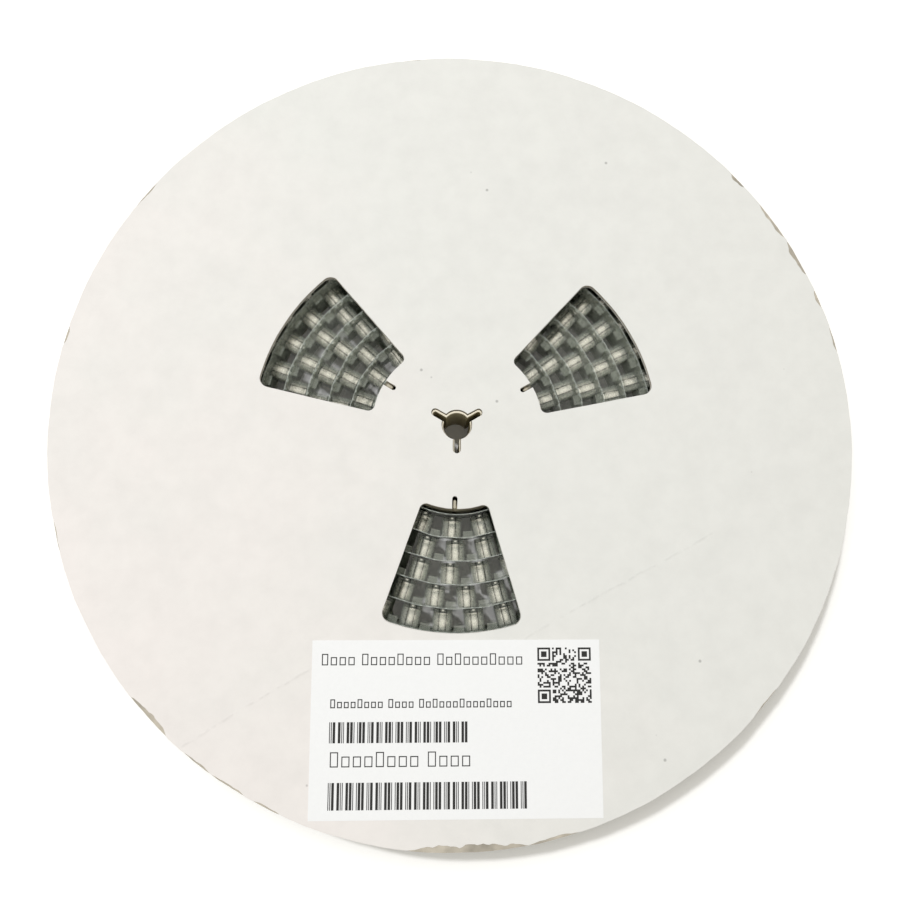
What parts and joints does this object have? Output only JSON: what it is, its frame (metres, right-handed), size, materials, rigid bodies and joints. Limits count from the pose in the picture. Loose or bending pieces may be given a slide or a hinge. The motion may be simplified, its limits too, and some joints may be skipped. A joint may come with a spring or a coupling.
{
  "type": "component tape reel",
  "caption": "Large round board reel of clear embossed carrier tape with aluminium capacitors, seen through keystone windows in its white flanges, with a bare label and a keyed spindle bore.",
  "frame": {"origin": "on the spindle axis, at the outer face of the rear flange, which the reel lies on", "axes": "+Z along the spindle axis, out of the labelled front flange; -Y towards the label; +X to the right when the label is read"},
  "size_m": [0.3799, 0.38, 0.0312],
  "materials": {
    "rear_flange": "paper liner over board",
    "front_flange": "paper liner over board",
    "core": "moulded",
    "carrier_tape": "clear thermoformed film",
    "cover_tape": "clear film",
    "capacitor_bases": "moulded",
    "capacitor_cans": "satin drawn can",
    "end_strip": "creped adhesive tape",
    "label": "coated label stock"
  },
  "bodies": {
    "root": {"rear_flange": "rear_flange", "front_flange": "front_flange", "core": "core", "carrier_tape": "carrier_tape", "cover_tape": "cover_tape", "capacitor_bases": "capacitor_bases", "capacitor_cans": "capacitor_cans", "end_strip": "end_strip", "label": "label"}
  },
  "joints": []
}
